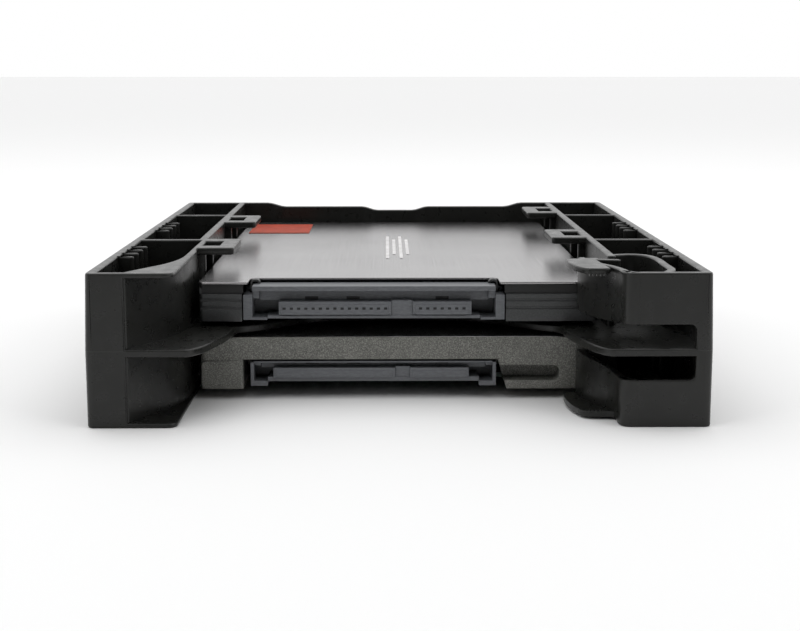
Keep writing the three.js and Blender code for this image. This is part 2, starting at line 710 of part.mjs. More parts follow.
// A circle sector between two radii, about the pivot.
function sector(inner, outer, fromDegrees, toDegrees, steps) {
  const shape = new THREE.Shape();
  const [from, to] = [fromDegrees, toDegrees].map(THREE.MathUtils.degToRad);
  shape.absarc(PIVOT.x, PIVOT.y, outer, from, to, false);
  shape.absarc(PIVOT.x, PIVOT.y, inner, to, from, true);
  return [shape, steps];
}

// The tapered head arms, one above another, on the block that turns on the pivot.
function headArms() {
  const turned = THREE.MathUtils.degToRad(ARM.angle);
  const along = new THREE.Vector2(Math.cos(turned), Math.sin(turned));
  const side = new THREE.Vector2(-along.y, along.x);
  const at = (forward, sideways) =>
    new THREE.Vector2(
      PIVOT.x + along.x * forward + side.x * sideways,
      PIVOT.y + along.y * forward + side.y * sideways,
    );
  const rightSide = [at(0, -4.6), at(24, -1.7), at(ARM.length, -0.8)];
  const leftSide = [at(ARM.length, 0.8), at(24, 1.7), at(0, 4.6)];
  const plan = new THREE.Shape([...rightSide, ...leftSide]);
  const arms = ARM.heights.map((z) => prism(plan, [z, z + ARM.thickness]));
  const top = ARM.heights[ARM.heights.length - 1] + ARM.thickness;
  const hub = post(PIVOT.x, PIVOT.y, PIVOT.block, [ARM.heights[0], top], ROUND_STEPS);
  const [tail, steps] = sector(PIVOT.block - 1, COIL.inner - 0.1, ARM.angle + 165, ARM.angle + 195, 4);
  const heel = prism(tail, [COIL.bottom, COIL.bottom + COIL.thickness], steps);
  return join([hub, heel, ...arms]).subtract(post(PIVOT.x, PIVOT.y, PIVOT.hole, [0, 20], ROUND_STEPS));
}

function voiceCoil() {
  const middle = ARM.angle + 180;
  const heights = [COIL.bottom, COIL.bottom + COIL.thickness];
  const half = COIL.spread / 2;
  const [outside, steps] = sector(COIL.inner, COIL.outer, middle - half, middle + half, 8);
  const [inside] = sector(COIL.inner + 3, COIL.outer - 3, middle - half + 13, middle + half - 13, 8);
  const [z0, z1] = heights;
  return prism(outside, heights, steps).subtract(prism(inside, [z0 - 1, z1 + 1], steps));
}

function magnetYoke(bottom) {
  const [plan, steps] = sector(COIL.inner + 1, COIL.outer + 0.8, -78, -8, 10);
  return prism(plan, [bottom, bottom + 0.5], steps);
}

function hddPieces() {
  const board = block([-26.6, 27.6], [SOCKET_BACK + 0.2, 75.4], HDD_BOARD);
  const chipBottom = HDD_BOARD[1] + CLEARANCE;
  const boardHoles = BOARD_SCREWS.map(([x, y]) => post(x, y, 0.9, [HDD_BOARD[0] - 1, HDD_BOARD[1] + 1]));
  const pivotTop = ARM.heights[2] + ARM.thickness;
  const fixed = [
    ["hdd_base", hddBase(), LOOKS.casting],
    ["hdd_cover", hddCover(), LOOKS.cover],
    ["hdd_sata_socket", socket(HDD_SOCKET), LOOKS.socket],
    ["hdd_circuit_board", cut(board, boardHoles), LOOKS.board],
    ["hdd_controller_chip", chip([-12, 2], [40, 54], chipBottom), LOOKS.chip],
    ["hdd_motor_chip", chip([8, 17], [56, 65], chipBottom), LOOKS.chip],
    ["hdd_lower_magnet_yoke", magnetYoke(7.8), LOOKS.machined],
    ["hdd_upper_magnet_yoke", magnetYoke(9.6), LOOKS.machined],
    ["hdd_pivot_post", post(PIVOT.x, PIVOT.y, 1.7, [HDD_FLOOR + CLEARANCE, pivotTop]), LOOKS.machined],
    ["hdd_load_ramp", block([-28.6, -25.8], [58, 66], [HDD_FLOOR + CLEARANCE, 10.2]), LOOKS.ramp],
    ["hdd_filter", block([14, 27], [52.4, 54.2], [HDD_FLOOR + CLEARANCE, 10.2]), LOOKS.filter],
  ];
  COVER_SCREWS.forEach(([x, y], i) => {
    const turned = screw(x, y, 1.5, 0.7, HDD_COVER_TOP, 0.4, 7);
    fixed.push([`hdd_cover_screw_${i + 1}`, turned, LOOKS.screw]);
  });
  BOARD_SCREWS.forEach(([x, y], i) => {
    const turned = screw(x, y, 1.1, 0.6, HDD_BOTTOM + 0.02, HDD_BOARD[0] - HDD_BOTTOM - 0.07, 4.9);
    fixed.push([`hdd_board_screw_${i + 1}`, turned, LOOKS.screw]);
  });
  const rotor = [
    ["hdd_spindle_hub", hddHub(), LOOKS.machined],
    [
      "hdd_platter_spacer",
      ring(
        SPINDLE.x,
        SPINDLE.y,
        HUB_RADIUS + 2,
        HUB_RADIUS + CLEARANCE,
        [PLATTER.bottoms[0] + PLATTER.thickness + CLEARANCE, PLATTER.bottoms[1] - CLEARANCE],
        ROUND_STEPS,
      ),
      LOOKS.machined,
    ],
    [
      "hdd_disk_clamp",
      ring(SPINDLE.x, SPINDLE.y, HUB_RADIUS + 1.6, 1.1, [9.65, 9.95], ROUND_STEPS),
      LOOKS.machined,
    ],
    ["hdd_clamp_screw", screw(SPINDLE.x, SPINDLE.y, 2, 0.9, 10.4, 0.4, 7.4), LOOKS.screw],
  ];
  PLATTER.bottoms.forEach((bottom, i) => {
    const heights = [bottom, bottom + PLATTER.thickness];
    const disk = ring(SPINDLE.x, SPINDLE.y, PLATTER.radius, HUB_RADIUS + CLEARANCE, heights);
    rotor.push([`hdd_platter_${i + 1}`, disk, LOOKS.platter]);
  });
  const actuator = [
    ["hdd_head_arms", headArms(), LOOKS.machined],
    ["hdd_voice_coil", voiceCoil(), LOOKS.coil],
  ];
  return [...fixed, ...rotor, ...actuator];
}

// ---------------------------------------------------------------- assembly
function mesh(name, body, look) {
  const { vertProperties, triVerts, numProp } = body.getMesh();
  if (numProp !== 3) throw new Error(name + " holds more than positions");
  const geometry = new THREE.BufferGeometry();
  geometry.setAttribute("position", new THREE.BufferAttribute(vertProperties, 3));
  geometry.setIndex(new THREE.BufferAttribute(triVerts, 1));
  geometry.computeVertexNormals();
  const made = new THREE.Mesh(geometry, new THREE.MeshStandardMaterial(look));
  made.name = name;
  return made;
}

const pieces = [
  ["bracket_frame", bracket(), LOOKS.moulding],
  ...LATCHES.map((row) => [row.name, latch(row), LOOKS.moulding]),
  ...ssdPieces(),
  ...hddPieces(),
];

const group = new THREE.Group();
group.name = "drive_bracket";
pieces.forEach((piece) => group.add(mesh(...piece)));
group.position.y = -LENGTH / 2;

export default group;
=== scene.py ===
# The drive bracket with its two drives, dressed for the picture: rounded mouldings, detailed
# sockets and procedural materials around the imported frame. Metres; +Y runs from the sockets to the back.
import json
import math

import bmesh
import bpy
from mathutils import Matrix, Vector


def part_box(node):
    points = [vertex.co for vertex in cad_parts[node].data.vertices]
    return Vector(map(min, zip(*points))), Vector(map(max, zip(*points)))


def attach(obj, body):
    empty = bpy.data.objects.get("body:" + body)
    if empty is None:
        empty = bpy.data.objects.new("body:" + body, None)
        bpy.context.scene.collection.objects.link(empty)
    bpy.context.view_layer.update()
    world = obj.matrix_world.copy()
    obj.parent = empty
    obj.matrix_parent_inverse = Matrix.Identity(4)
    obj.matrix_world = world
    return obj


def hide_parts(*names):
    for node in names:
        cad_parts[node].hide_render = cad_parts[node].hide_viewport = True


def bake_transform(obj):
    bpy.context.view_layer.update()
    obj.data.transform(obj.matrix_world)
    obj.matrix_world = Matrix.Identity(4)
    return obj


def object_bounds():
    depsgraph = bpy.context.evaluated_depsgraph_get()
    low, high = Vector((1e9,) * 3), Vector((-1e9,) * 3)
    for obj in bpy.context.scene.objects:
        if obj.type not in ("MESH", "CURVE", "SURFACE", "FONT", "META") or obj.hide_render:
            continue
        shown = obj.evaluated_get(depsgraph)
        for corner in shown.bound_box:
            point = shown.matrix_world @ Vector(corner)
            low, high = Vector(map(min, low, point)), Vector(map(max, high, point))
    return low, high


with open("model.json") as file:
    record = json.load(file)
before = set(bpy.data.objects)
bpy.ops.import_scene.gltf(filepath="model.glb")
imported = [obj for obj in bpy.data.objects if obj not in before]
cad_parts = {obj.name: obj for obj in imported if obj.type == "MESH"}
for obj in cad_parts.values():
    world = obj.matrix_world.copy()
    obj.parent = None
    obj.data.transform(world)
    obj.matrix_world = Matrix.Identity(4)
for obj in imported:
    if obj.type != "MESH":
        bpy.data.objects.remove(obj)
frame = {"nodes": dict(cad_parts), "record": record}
NODES = frame["nodes"]
CAD_BOX = [list(corner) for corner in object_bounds()]

MM = 0.001
(_, FRONT, FLOOR), (_, BACK, TOP) = CAD_BOX
HEIGHT = TOP / MM
PARTING_HEIGHT = HEIGHT / 2


def place(x, y, z):
    """A point given in millimetres, with y measured back from the bracket's front face."""
    return Vector((x * MM, FRONT + y * MM, z * MM))


def span(node):
    """A node's box in millimetres, as a range along each axis, with y from the bracket's front face."""
    low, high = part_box(node)
    return [
        (low[0] / MM, high[0] / MM),
        ((low[1] - FRONT) / MM, (high[1] - FRONT) / MM),
        (low[2] / MM, high[2] / MM),
    ]


# ---------------------------------------------------------------- camera, floor and lights
CAMERA_LENS = 64.68
CAMERA_PLACE = place(-2.24, -227.28, 57.37)
CAMERA_DOWN = math.radians(9.691)
CAMERA_RIGHT = math.radians(0.574)
FLOOR_SIZE = 24.0
FLOOR_TONE = 0.9
WORLD_LIGHT = 1.0
CARD_DISTANCE = 0.55
CARD_SIZE = (2.6, 0.5)
CARD_TONE = 0.01
STAGE_ROUGHNESS = 0.9


def make_camera():
    data = bpy.data.cameras.new("camera")
    data.lens = CAMERA_LENS
    data.clip_start = 0.01
    camera = bpy.data.objects.new("camera", data)
    camera.location = CAMERA_PLACE
    camera.rotation_euler = (math.pi / 2 - CAMERA_DOWN, 0, -CAMERA_RIGHT)
    bpy.context.scene.collection.objects.link(camera)
    bpy.context.scene.camera = camera
    bpy.context.scene.view_settings.view_transform = "Standard"


def stage_object(name, shape, tone):
    mesh = bpy.data.meshes.new(name)
    shape.to_mesh(mesh)
    shape.free()
    staged = bpy.data.objects.new(name, mesh)
    bpy.context.scene.collection.objects.link(staged)
    material = bpy.data.materials.new(name)
    material.use_nodes = True
    shader = material.node_tree.nodes["Principled BSDF"]
    shader.inputs["Base Color"].default_value = (tone, tone, tone, 1)
    shader.inputs["Roughness"].default_value = STAGE_ROUGHNESS
    mesh.materials.append(material)
    return staged


def flat_card(name, size, tone):
    shape = bmesh.new()
    bmesh.ops.create_grid(shape, x_segments=1, y_segments=1, size=1)
    bmesh.ops.scale(shape, vec=(size[0] / 2, size[1] / 2, 1), verts=shape.verts)
    return stage_object(name, shape, tone)


def make_floor():
    """The plain pale floor that the object stands on."""
    floor = flat_card("floor", (FLOOR_SIZE, FLOOR_SIZE), FLOOR_TONE)
    floor.location.z = FLOOR


def make_dark_card():
    """A black card behind the camera, so that the faces turned to it reflect no bright room."""
    card = flat_card("dark_card", CARD_SIZE, CARD_TONE)
    card.location = (0, FRONT - CARD_DISTANCE, CARD_SIZE[1] / 2)
    card.rotation_euler = (math.pi / 2, 0, 0)
    card.visible_camera = False


def area_light(name, position, target, size, power):
    data = bpy.data.lights.new(name, "AREA")
    data.shape = "RECTANGLE"
    data.size, data.size_y = size
    data.energy = power
    light = bpy.data.objects.new(name, data)
    light.location = position
    light.rotation_euler = (Vector(target) - Vector(position)).to_track_quat("-Z", "Y").to_euler()
    light.visible_camera = False
    bpy.context.scene.collection.objects.link(light)


def make_lights():
    centre = (0, 0, 0.012)
    area_light("top_light", (0, 0.15, 0.7), centre, (0.9, 0.7), 1.5)
    area_light("left_light", (-0.5, -0.45, 0.3), centre, (0.15, 0.4), 0.4)
    area_light("right_light", (0.5, -0.45, 0.3), centre, (0.15, 0.4), 0.4)
    world = bpy.data.worlds.new("studio")
    bpy.context.scene.world = world
    world.use_nodes = True
    background = world.node_tree.nodes["Background"]
    background.inputs["Color"].default_value = (1, 1, 1, 1)
    background.inputs["Strength"].default_value = WORLD_LIGHT


# ---------------------------------------------------------------- material tools
class Painter:
    """Builds one procedural material around a Principled shader, in metres of object space."""

    def __init__(self, name, color, roughness, metallic=0.0):
        self.material = bpy.data.materials.new(name)
        self.material.use_nodes = True
        self.nodes = self.material.node_tree.nodes
        self.links = self.material.node_tree.links
        self.shader = self.nodes["Principled BSDF"]
        self.set("Base Color", (*color, 1))
        self.set("Roughness", roughness)
        self.set("Metallic", metallic)
        self.place = self.nodes.new("ShaderNodeTexCoord").outputs["Object"]

    def set(self, socket, value):
        self.shader.inputs[socket].default_value = value

    def noise(self, per_mm, detail=3.0, stretch=(1, 1, 1), roughness=0.5):
        """Noise with about per_mm features in a millimetre, stretched along the axes."""
        mapping = self.nodes.new("ShaderNodeMapping")
        mapping.inputs["Scale"].default_value = [1 / MM * per_mm / s for s in stretch]
        self.links.new(self.place, mapping.inputs["Vector"])
        texture = self.nodes.new("ShaderNodeTexNoise")
        texture.inputs["Scale"].default_value = 1
        texture.inputs["Detail"].default_value = detail
        texture.inputs["Roughness"].default_value = roughness
        self.links.new(mapping.outputs["Vector"], texture.inputs["Vector"])
        return texture.outputs["Fac"]

    def spread(self, value, low, high, start=0.3, end=0.7):
        """Maps a 0 to 1 value onto a range of plain numbers."""
        node = self.nodes.new("ShaderNodeMapRange")
        for socket, number in zip(("From Min", "From Max", "To Min", "To Max"), (start, end, low, high)):
            node.inputs[socket].default_value = number
        self.links.new(value, node.inputs["Value"])
        return node.outputs["Result"]

    def mix(self, factor, first, second):
        """Blends two colours; either may be a colour or another node's output."""
        node = self.nodes.new("ShaderNodeMix")
        node.data_type = "RGBA"
        self.links.new(factor, node.inputs["Factor"])
        for socket, color in zip(("A", "B"), (first, second)):
            target = [i for i in node.inputs if i.name == socket and i.type == "RGBA"][0]
            if isinstance(color, tuple):
                target.default_value = (*color, 1)
            else:
                self.links.new(color, target)
        return [o for o in node.outputs if o.type == "RGBA"][0]

    def color(self, output):
        self.links.new(output, self.shader.inputs["Base Color"])

    def roughness(self, output):
        self.links.new(output, self.shader.inputs["Roughness"])

    def soften_edges(self, radius_mm):
        """Rounds the shading of sharp edges, under any relief added later."""
        node = self.nodes.new("ShaderNodeBevel")
        node.samples = 6
        node.inputs["Radius"].default_value = radius_mm * MM
        self.links.new(node.outputs["Normal"], self.shader.inputs["Normal"])

    def line_at_height(self, z_mm, half_width_mm, beyond_mm):
        """1 in a thin band at one height, on what is further than beyond_mm from the middle."""
        split = self.nodes.new("ShaderNodeSeparateXYZ")
        self.links.new(self.place, split.inputs["Vector"])
        offset = self.maths("SUBTRACT", split.outputs["Z"], z_mm * MM)
        band = self.maths("LESS_THAN", self.maths("ABSOLUTE", offset), half_width_mm * MM)
        outside = self.maths("GREATER_THAN", self.maths("ABSOLUTE", split.outputs["X"]), beyond_mm * MM)
        return self.maths("MULTIPLY", band, outside)

    def maths(self, operation, first, second=0.0):
        node = self.nodes.new("ShaderNodeMath")
        node.operation = operation
        self.links.new(first, node.inputs[0])
        if isinstance(second, float):
            node.inputs[1].default_value = second
        else:
            self.links.new(second, node.inputs[1])
        return node.outputs["Value"]

    def bump(self, height, size_mm, strength=1.0):
        """Adds relief size_mm deep on top of any relief already there."""
        node = self.nodes.new("ShaderNodeBump")
        node.inputs["Strength"].default_value = strength
        node.inputs["Distance"].default_value = size_mm * MM
        self.links.new(height, node.inputs["Height"])
        normal = self.shader.inputs["Normal"]
        if normal.is_linked:
            self.links.new(normal.links[0].from_socket, node.inputs["Normal"])
        self.links.new(node.outputs["Normal"], normal)


# ---------------------------------------------------------------- materials
def moulding_material():
    """Black ABS with the fine spark-eroded texture of its mould, and the mould's parting line."""
    paint = Painter("black_moulding", (0.012, 0.012, 0.0115), 0.34)
    paint.set("Specular IOR Level", 0.36)
    tone = paint.spread(paint.noise(0.15), 0, 1)
    base = paint.mix(tone, (0.0105, 0.0107, 0.0098), (0.0145, 0.0148, 0.0134))
    parting = paint.line_at_height(PARTING_HEIGHT, 0.05, 44)
    paint.color(paint.mix(parting, base, (0.03, 0.031, 0.028)))
    paint.roughness(paint.spread(paint.noise(0.6, detail=4), 0.25, 0.36))
    paint.bump(paint.noise(6, detail=2), 0.002, 0.5)
    paint.bump(parting, 0.05, 0.6)
    return paint.material


def lid_material():
    """Aluminium brushed along the drive."""
    paint = Painter("ssd_lid_metal", (0.38, 0.37, 0.375), 0.25, 1)
    streaks = paint.noise(9, detail=4, stretch=(1, 260, 1))
    clouds = paint.noise(0.05, detail=2)
    paint.color(paint.mix(paint.spread(clouds, 0, 1), (0.275, 0.268, 0.272), (0.32, 0.312, 0.316)))
    paint.roughness(paint.spread(streaks, 0.22, 0.27))
    paint.bump(streaks, 0.0012, 0.5)
    return paint.material


def tray_material():
    """Dark anodised aluminium."""
    paint = Painter("ssd_tray_metal", (0.05, 0.052, 0.053), 0.35, 0.3)
    paint.soften_edges(0.1)
    grain = paint.noise(5, detail=4)
    paint.color(paint.mix(paint.spread(grain, 0, 1), (0.038, 0.04, 0.04), (0.062, 0.064, 0.065)))
    paint.roughness(paint.spread(paint.noise(1.2), 0.3, 0.42))
    paint.bump(grain, 0.006, 0.4)
    return paint.material


def casting_material():
    """A dark coat over a die casting, full of fine light specks."""
    paint = Painter("cast_body", (0.17, 0.17, 0.155), 0.6, 0.2)
    paint.soften_edges(0.2)
    speck = paint.spread(paint.noise(4.5, detail=4, roughness=0.8), 0, 1, 0.46, 0.66)
    base = paint.mix(paint.spread(paint.noise(0.4), 0, 1), (0.1, 0.1, 0.091), (0.13, 0.13, 0.118))
    paint.color(paint.mix(speck, base, (0.33, 0.33, 0.3)))
    paint.roughness(paint.spread(speck, 0.62, 0.45, 0, 1))
    paint.bump(paint.noise(4, detail=4), 0.015, 0.5)
    return paint.material


def socket_material():
    """Glass-filled nylon, with its fibres showing along the housing."""
    paint = Painter("socket_plastic", (0.14, 0.147, 0.165), 0.42)
    fibre = paint.noise(5, detail=3, stretch=(4, 1, 1))
    paint.color(paint.mix(paint.spread(fibre, 0, 1), (0.095, 0.1, 0.109), (0.14, 0.146, 0.157)))
    paint.roughness(paint.spread(fibre, 0.36, 0.5))
    paint.bump(fibre, 0.005, 0.5)
    return paint.material


def board_material():
    """Green solder mask with copper tracks under it as raised lighter lines."""
    paint = Painter("circuit_board", (0.01, 0.055, 0.03), 0.4)
    tracks = paint.nodes.new("ShaderNodeTexVoronoi")
    tracks.distance = "MANHATTAN"
    tracks.feature = "DISTANCE_TO_EDGE"
    tracks.inputs["Scale"].default_value = 0.35 / MM
    paint.links.new(paint.place, tracks.inputs["Vector"])
    line = paint.spread(tracks.outputs["Distance"], 1, 0, 0.03, 0.06)
    paint.color(paint.mix(line, (0.008, 0.045, 0.024), (0.018, 0.1, 0.05)))
    paint.roughness(paint.spread(paint.noise(2), 0.32, 0.45))
    paint.bump(line, 0.02, 0.5)
    return paint.material


def label_material():
    """Red-orange print with darker patches of ink, on slightly wrinkled paper."""
    paint = Painter("label_print", (0.36, 0.045, 0.018), 0.5)
    paint.set("Specular IOR Level", 0.1)
    ink = paint.spread(paint.noise(2.2, detail=1, stretch=(4, 1, 1)), 0, 1, 0.46, 0.62)
    paint.color(paint.mix(ink, (0.4, 0.05, 0.02), (0.28, 0.034, 0.014)))
    paint.roughness(paint.spread(paint.noise(3), 0.45, 0.6))
    paint.bump(paint.noise(0.3, detail=2), 0.05, 0.4)
    return paint.material


def plain_material(name, color, roughness, metallic=0.0, grain=4.0, change=0.15, relief=0.004):
    """A finish with fine grain, a slight change of tone and a slightly uneven gloss."""
    paint = Painter(name, color, roughness, metallic)
    darker = tuple(c * (1 - change) for c in color)
    lighter = tuple(min(1.0, c * (1 + change)) for c in color)
    fine = paint.noise(grain, detail=3)
    paint.color(paint.mix(paint.spread(paint.noise(grain / 12), 0, 1), darker, lighter))
    paint.roughness(paint.spread(fine, roughness * 0.85, roughness * 1.15))
    paint.bump(fine, relief, 0.5)
    return paint.material


def make_materials():
    return {
        "black_moulding": moulding_material(),
        "ssd_lid_metal": lid_material(),
        "ssd_tray_metal": tray_material(),
        "cast_body": casting_material(),
        "socket_plastic": socket_material(),
        "circuit_board": board_material(),
        "label_print": label_material(),
        "contact_metal": plain_material("contact_metal", (0.62, 0.47, 0.24), 0.25, 1, grain=8),
        # Near-black finish for the socket patches: painted shade inside their notches and contact openings.
        "opening_shade_black": plain_material("opening_shade_black", (0.006, 0.006, 0.007), 0.5),
        # A lighter copy of the lid's metal for its raised bars: painted highlight.
        "bar_highlight_metal": plain_material("bar_highlight_metal", (0.7, 0.69, 0.69), 0.45, 1),
        # Near-black finish for the band under the SSD lid's edge: painted shade of the recess there.
        "lid_edge_shade_black": plain_material("lid_edge_shade_black", (0.008, 0.008, 0.008), 0.5),
        "chip_package": plain_material("chip_package", (0.012, 0.012, 0.013), 0.45),
        "thermal_pad": plain_material("thermal_pad", (0.3, 0.33, 0.4), 0.8, grain=2),
        "screws": plain_material("screws", (0.5, 0.5, 0.5), 0.3, 1),
        "hdd_cover_metal": plain_material("hdd_cover_metal", (0.5, 0.5, 0.51), 0.3, 1),
        "machined_metal": plain_material("machined_metal", (0.6, 0.6, 0.61), 0.3, 1),
        "disk_surface": plain_material("disk_surface", (0.75, 0.76, 0.78), 0.05, 1, relief=0.0005),
        "coil_wire": plain_material("coil_wire", (0.6, 0.25, 0.1), 0.35, 1, grain=6, relief=0.02),
        "ramp_plastic": plain_material("ramp_plastic", (0.6, 0.58, 0.52), 0.45),
        "filter_cloth": plain_material("filter_cloth", (0.8, 0.8, 0.77), 0.9, grain=3, relief=0.05),
    }


# ---------------------------------------------------------------- mesh tools
SHARP = math.radians(28)
CREASE = math.radians(50)
SLIVER_MM = 0.002


def round_edges(shape, width_mm, segments, keep=()):
    """Rounds every sharp edge that points outwards, except those to keep, and drops any slivers left."""
    kept = set(keep)
    bmesh.ops.recalc_face_normals(shape, faces=shape.faces)
    edges = [
        e for e in shape.edges if e not in kept and e.is_manifold and e.calc_face_angle_signed(0) > SHARP
    ]
    bmesh.ops.bevel(
        shape,
        geom=edges,
        offset=width_mm * MM,
        segments=segments,
        affect="EDGES",
        profile=0.5,
        clamp_overlap=False,
    )
    bmesh.ops.dissolve_degenerate(shape, dist=SLIVER_MM * MM, edges=shape.edges)


def make_piece(name, shape, body, slot, material=None, replaces=()):
    """Turns a bmesh into a piece that rides on a body, or stays fixed in place when given anything else, with
    flat faces kept flat.
    """
    bmesh.ops.recalc_face_normals(shape, faces=shape.faces)
    for edge in shape.edges:
        edge.smooth = edge.calc_face_angle(0) < CREASE
    mesh = bpy.data.meshes.new(name)
    shape.to_mesh(mesh)
    shape.free()
    mesh.materials.append(MATERIALS[material or slot])
    mesh.polygons.foreach_set("use_smooth", [True] * len(mesh.polygons))
    piece = bpy.data.objects.new(name, mesh)
    bpy.context.scene.collection.objects.link(piece)
    if isinstance(body, str):
        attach(piece, body)
    else:
        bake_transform(piece)
    if replaces:
        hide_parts(*replaces)
    normals = piece.modifiers.new("normals", "WEIGHTED_NORMAL")
    normals.keep_sharp = True
    return piece


def node_shape(node):
    """A CAD node's shape with its flat faces merged, ready to be rounded."""
    shape = bmesh.new()
    shape.from_mesh(NODES[node].data)
    bmesh.ops.remove_doubles(shape, verts=shape.verts, dist=0.002 * MM)
    bmesh.ops.dissolve_limit(shape, angle_limit=math.radians(1), verts=shape.verts, edges=shape.edges)
    return shape


def rounded_copy(node, name, body, slot, width_mm, segments=2):
    shape = node_shape(node)
    round_edges(shape, width_mm, segments)
    return make_piece(name, shape, body, slot, replaces=[node])


class Solids:
    """Collects closed solids, given in millimetres, that together make one piece."""

    def __init__(self):
        self.shape = bmesh.new()

    def loft(self, rings):
        """Joins rings of points into a closed skin, with a flat cap on each end."""
        rows = [[self.shape.verts.new(place(*point)) for point in ring] for ring in rings]
        for row, following in zip(rows, rows[1:]):
            for i, vertex in enumerate(row):
                j = (i + 1) % len(row)
                self.shape.faces.new((vertex, row[j], following[j], following[i]))
        self.shape.faces.new(rows[0][::-1])
        self.shape.faces.new(rows[-1])
        return rows

    def prism(self, outline, heights):
        """Raises an outline in X and Y between two heights."""
        self.loft([[(x, y, z) for x, y in outline] for z in heights])

    def prism_along_y(self, outline, ends):
        """Runs an outline in X and Z between two places along Y."""
        self.loft([[(x, y, z) for x, z in outline] for y in ends])

    def block(self, xs, ys, zs):
        (x0, x1), (y0, y1) = xs, ys
        self.prism([(x0, y0), (x1, y0), (x1, y1), (x0, y1)], zs)

    def finish(self, name, body, slot, material=None, replaces=(), width_mm=0.0, segments=2, keep=()):
        if width_mm:
            round_edges(self.shape, width_mm, segments, keep)
        return make_piece(name, self.shape, body, slot, material, replaces)


def arc(centre, radius, start, end, steps):
    """Points on a circle between two angles in degrees."""
    points = []
    for i in range(steps + 1):
        angle = math.radians(start + (end - start) * i / steps)
        points.append((centre[0] + radius * math.cos(angle), centre[1] + radius * math.sin(angle)))
    return points


def between(p, q, r, s, t):
    """The Catmull-Rom curve through four values, from q to r as t goes from 0 to 1."""
    square = (2 * p - 5 * q + 4 * r - s) * t**2
    cube = (3 * q - p - 3 * r + s) * t**3
    return 0.5 * (2 * q + (r - p) * t + square + cube)


def smooth_through(points, steps):
    """A Catmull-Rom curve through the points, with the given number of steps between each two."""
    ends = [points[0], *points, points[-1]]
    curve = []
    for a, b, c, d in zip(ends, ends[1:], ends[2:], ends[3:]):
        for i in range(steps):
            t = i / steps
            curve.append(tuple(between(p, q, r, s, t) for p, q, r, s in zip(a, b, c, d)))
    return [*curve, points[-1]]


def ramp(value, start, end):
    """0 before start, 1 after end, and a smooth climb between them."""
    t = min(max((value - start) / (end - start), 0), 1)
    return t * t * (3 - 2 * t)


CORNER_NUDGE = 1e-6


def rounded_rectangle(xs, ys, radius, steps=6):
    (x0, x1), (y0, y1) = xs, ys
    corners = [(x1, y0, -90), (x1, y1, 0), (x0, y1, 90), (x0, y0, 180)]
    points = []
    for x, y, start in corners:
        centre_x = x - math.copysign(radius, x - x0 - CORNER_NUDGE)
        centre_y = y - math.copysign(radius, y - y0 - CORNER_NUDGE)
        points += arc((centre_x, centre_y), radius, start, start + 90, steps)
    return points


# ---------------------------------------------------------------- bracket
PLATE_EDGE_X = 37.9
PLATE_BACK_Y = 1.6
LATCH_ROOT_X = 38.6
MOULDING_ROUND = 0.28


def bracket_shell():
    """The bracket's moulding, with its corner plates a little short where the latch arms grow out of them."""
    shape = node_shape("bracket_frame")
    edge_x = PLATE_EDGE_X * MM
    behind = FRONT + (PLATE_BACK_Y + 0.1) * MM
    ends = [v for v in shape.verts if abs(v.co.x - edge_x) < 0.01 * MM and v.co.y < behind]
    open_edges = {e for v in ends for e in v.link_edges if e.other_vert(v) in ends}
    for vertex in ends:
        vertex.co.x = LATCH_ROOT_X * MM
    round_edges(shape, MOULDING_ROUND, 2, open_edges)
    # The rounding strays past the CAD box by about a micron.
    for vertex in shape.verts:
        vertex.co.y = min(vertex.co.y, BACK)
        vertex.co.z = min(vertex.co.z, TOP)
    make_piece("bracket_shell", shape, "bracket", "black_moulding", replaces=["bracket_frame"])


# ---------------------------------------------------------------- latches
ARM_WIDTH = (1.6, 1.3)
ARM_ROUTE = [
    (40.2, 1.1),
    (39.3, 0.84),
    (38.4, 0.83),
    (37.55, 0.85),
    (37.05, 1.1),
    (36.75, 1.8),
    (36.55, 3),
    (36.35, 4.7),
    (35.45, 8.3),
    (33.6, 12.1),
    (32.2, 15.7),
    (31.7, 19.8),
]
ARM_TOP = HEIGHT - 0.02
CATCH = {"xs": (31.4, 34.6), "ys": (18.3, 19.8)}
STOP = {"start": (33, 17.6), "end": (37.3, 16.8), "radius": 0.75}
TAB_STEPS = 4
UPPER_TAB = [
    (34.6, 7),
    (34.3, 5.6),
    (30.9, 5.6),
    (29.5, 8.2),
    (28.8, 12),
    (28.7, 15.5),
    (29.4, 18),
    (33.8, 18.2),
]
LOWER_TAB = [
    (36.2, 3),
    (35.5, 5.2),
    (31.2, 5.7),
    (29.8, 8.2),
    (29, 12),
    (28.8, 16),
    (29.2, 19.4),
    (31.8, 20),
]
UPPER_TEETH = {"count": 5, "x": 31.1, "pitch": 0.6, "ys": (5.35, 6), "zs": (24.1, 24.75)}
LOWER_TEETH = {"count": 5, "x": 31.4, "pitch": 0.6, "ys": (5.45, 6.1), "zs": (1.2, 1.6)}
LATCH_ROUND = 0.25
BEND_START = (37.6, 0.8)
BEND_END = (36.6, 3.5)


def arm_stations():
    """The arm's middle line, out of the corner plate and round to its end, with the direction across it."""
    line = smooth_through(ARM_ROUTE, 4)
    stations = []
    for i, (x, y) in enumerate(line):
        before, after = line[max(i - 1, 0)], line[min(i + 1, len(line) - 1)]
        along = Vector((after[0] - before[0], after[1] - before[1])).normalized()
        across = (-along.y, along.x)
        width = ARM_WIDTH[0] + (ARM_WIDTH[1] - ARM_WIDTH[0]) * ramp(y, 1, 6)
        stations.append(((x, y), across, width))
    return stations


